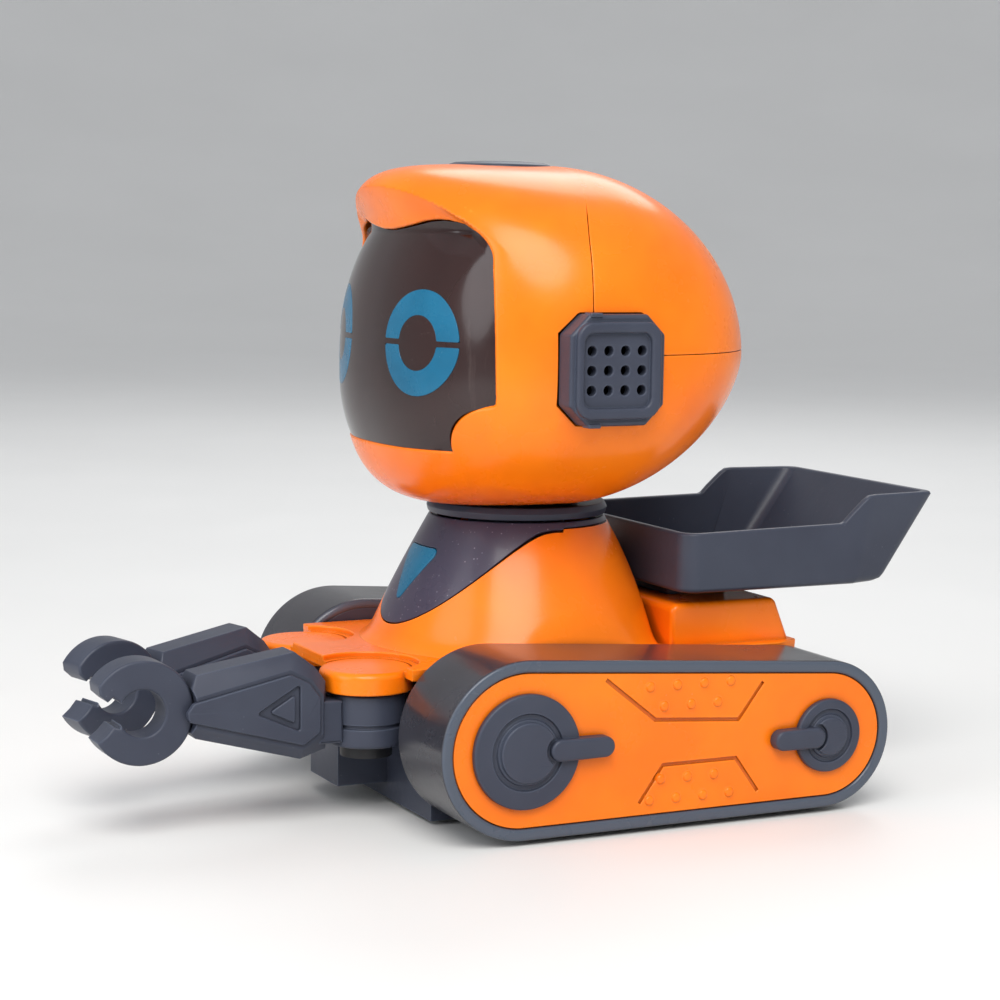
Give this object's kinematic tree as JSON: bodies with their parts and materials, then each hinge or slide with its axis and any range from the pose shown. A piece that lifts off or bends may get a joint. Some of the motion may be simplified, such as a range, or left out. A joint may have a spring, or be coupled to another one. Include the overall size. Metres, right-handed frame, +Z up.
{
  "type": "educational coding robot",
  "caption": "Small tracked toy robot with a turning visored head, two swinging claw arms and a rear load tray on a two-wheel drive.",
  "frame": {"origin": "on the ground under the neck axis, in the centre plane", "axes": "+Z up, the front faces -Y, the robot's left side is +X"},
  "size_m": [0.0732, 0.1273, 0.0901],
  "materials": {
    "orange_plastic": "injection-moulded glossy orange",
    "dark_plastic": "satin blue-grey",
    "bib_plastic": "dark violet-grey, faint sparkle",
    "black_lens": "near-black tinted lens",
    "black_parts": "moulded black",
    "eye_blue": "blue light guide",
    "board_green": "glass-fibre board with green resist",
    "steel": "plated steel",
    "brass": "machined",
    "gear_white": "natural white acetal",
    "tyre_rubber": "black moulded rubber",
    "cell_wrap": "printed sleeve, plain"
  },
  "bodies": {
    "base": {"chassis_base": "dark_plastic", "deck_cover": "orange_plastic", "torso_shell": "orange_plastic", "chest_bib": "bib_plastic", "chest_light": "eye_blue", "tray": "dark_plastic", "left_track_shell": "dark_plastic", "right_track_shell": "dark_plastic", "left_track_plate": "orange_plastic", "right_track_plate": "orange_plastic", "left_front_hub_cap": "dark_plastic", "right_front_hub_cap": "dark_plastic", "left_rear_hub_cap": "dark_plastic", "right_rear_hub_cap": "dark_plastic", "battery_door": "dark_plastic", "battery_door_screw": "steel", "batteries": "cell_wrap", "battery_contacts": "steel", "main_board": "board_green", "line_sensor": "board_green", "power_switch_body": "black_parts", "body_screws": "steel", "shoulder_pins": "black_parts", "left_motor": "steel", "right_motor": "steel", "idler_pins": "steel", "roller_pins": "steel"},
    "head": {"head_front_shell": "orange_plastic", "head_rear_shell": "orange_plastic", "visor": "black_lens", "eye_rings": "eye_blue", "face_board": "board_green", "left_ear_grille": "dark_plastic", "right_ear_grille": "dark_plastic", "speaker": "black_parts", "neck_collar": "dark_plastic", "neck_retainer": "steel", "crown_switch": "black_parts"},
    "crown_button": {"crown_button": "dark_plastic"},
    "power_switch_knob": {"power_switch_knob": "orange_plastic"},
    "left_arm": {"left_forearm": "dark_plastic", "left_claw": "dark_plastic"},
    "left_wheel": {"left_wheel_hub": "gear_white", "left_wheel_tyre": "tyre_rubber", "left_axle": "steel", "left_axle_gear": "gear_white"},
    "left_idler": {"left_idler_gear": "gear_white"},
    "left_rotor": {"left_motor_rotor": "steel", "left_pinion": "brass"},
    "left_roller": {"left_front_roller": "dark_plastic"},
    "right_arm": {"right_forearm": "dark_plastic", "right_claw": "dark_plastic"},
    "right_wheel": {"right_wheel_hub": "gear_white", "right_wheel_tyre": "tyre_rubber", "right_axle": "steel", "right_axle_gear": "gear_white"},
    "right_idler": {"right_idler_gear": "gear_white"},
    "right_rotor": {"right_motor_rotor": "steel", "right_pinion": "brass"},
    "right_roller": {"right_front_roller": "dark_plastic"}
  },
  "joints": [
    {"name": "head_turn", "type": "hinge", "parent": "base", "child": "head", "pos_m": [0, 0, 0.04], "axis": [0, 0, 1], "range_deg": [-60, 60]},
    {"name": "crown_button_press", "type": "slide", "parent": "head", "child": "crown_button", "axis": [0, 0, -1], "range_m": [0, 0.0008], "stiffness_N_per_m": 600},
    {"name": "power_switch_slide", "type": "slide", "parent": "base", "child": "power_switch_knob", "axis": [1, 0, 0], "range_m": [0, 0.002]},
    {"name": "left_shoulder_swing", "type": "hinge", "parent": "base", "child": "left_arm", "pos_m": [0.0118, -0.0285, 0.0144], "axis": [0, 0, 1], "range_deg": [-13.5, 60]},
    {"name": "right_shoulder_swing", "type": "hinge", "parent": "base", "child": "right_arm", "pos_m": [-0.0118, -0.0285, 0.0144], "axis": [0, 0, -1], "range_deg": [0, 73.5]},
    {"name": "left_wheel_spin", "type": "hinge", "parent": "base", "child": "left_wheel", "pos_m": [0.0275, 0.0318, 0.007], "axis": [1, 0, 0], "continuous": true},
    {"name": "left_idler_spin", "type": "hinge", "parent": "base", "child": "left_idler", "pos_m": [0.015, 0.02986, 0.01424], "axis": [1, 0, 0], "continuous": true},
    {"name": "left_rotor_spin", "type": "hinge", "parent": "base", "child": "left_rotor", "pos_m": [0.014, 0.02456, 0.02056], "axis": [1, 0, 0], "continuous": true},
    {"name": "left_roller_spin", "type": "hinge", "parent": "base", "child": "left_roller", "pos_m": [0.0275, -0.0154, 0.0055], "axis": [1, 0, 0], "continuous": true},
    {"name": "right_wheel_spin", "type": "hinge", "parent": "base", "child": "right_wheel", "pos_m": [-0.0275, 0.0318, 0.007], "axis": [1, 0, 0], "continuous": true},
    {"name": "right_idler_spin", "type": "hinge", "parent": "base", "child": "right_idler", "pos_m": [-0.015, 0.02986, 0.01424], "axis": [1, 0, 0], "continuous": true},
    {"name": "right_rotor_spin", "type": "hinge", "parent": "base", "child": "right_rotor", "pos_m": [-0.014, 0.02456, 0.02056], "axis": [1, 0, 0], "continuous": true},
    {"name": "right_roller_spin", "type": "hinge", "parent": "base", "child": "right_roller", "pos_m": [-0.0275, -0.0154, 0.0055], "axis": [1, 0, 0], "continuous": true}
  ],
  "couplings": [
    {"joint": "left_idler_spin", "follows": "left_wheel_spin", "ratio": -2},
    {"joint": "left_rotor_spin", "follows": "left_wheel_spin", "ratio": 5.3333},
    {"joint": "right_idler_spin", "follows": "right_wheel_spin", "ratio": -2},
    {"joint": "right_rotor_spin", "follows": "right_wheel_spin", "ratio": 5.3333}
  ]
}
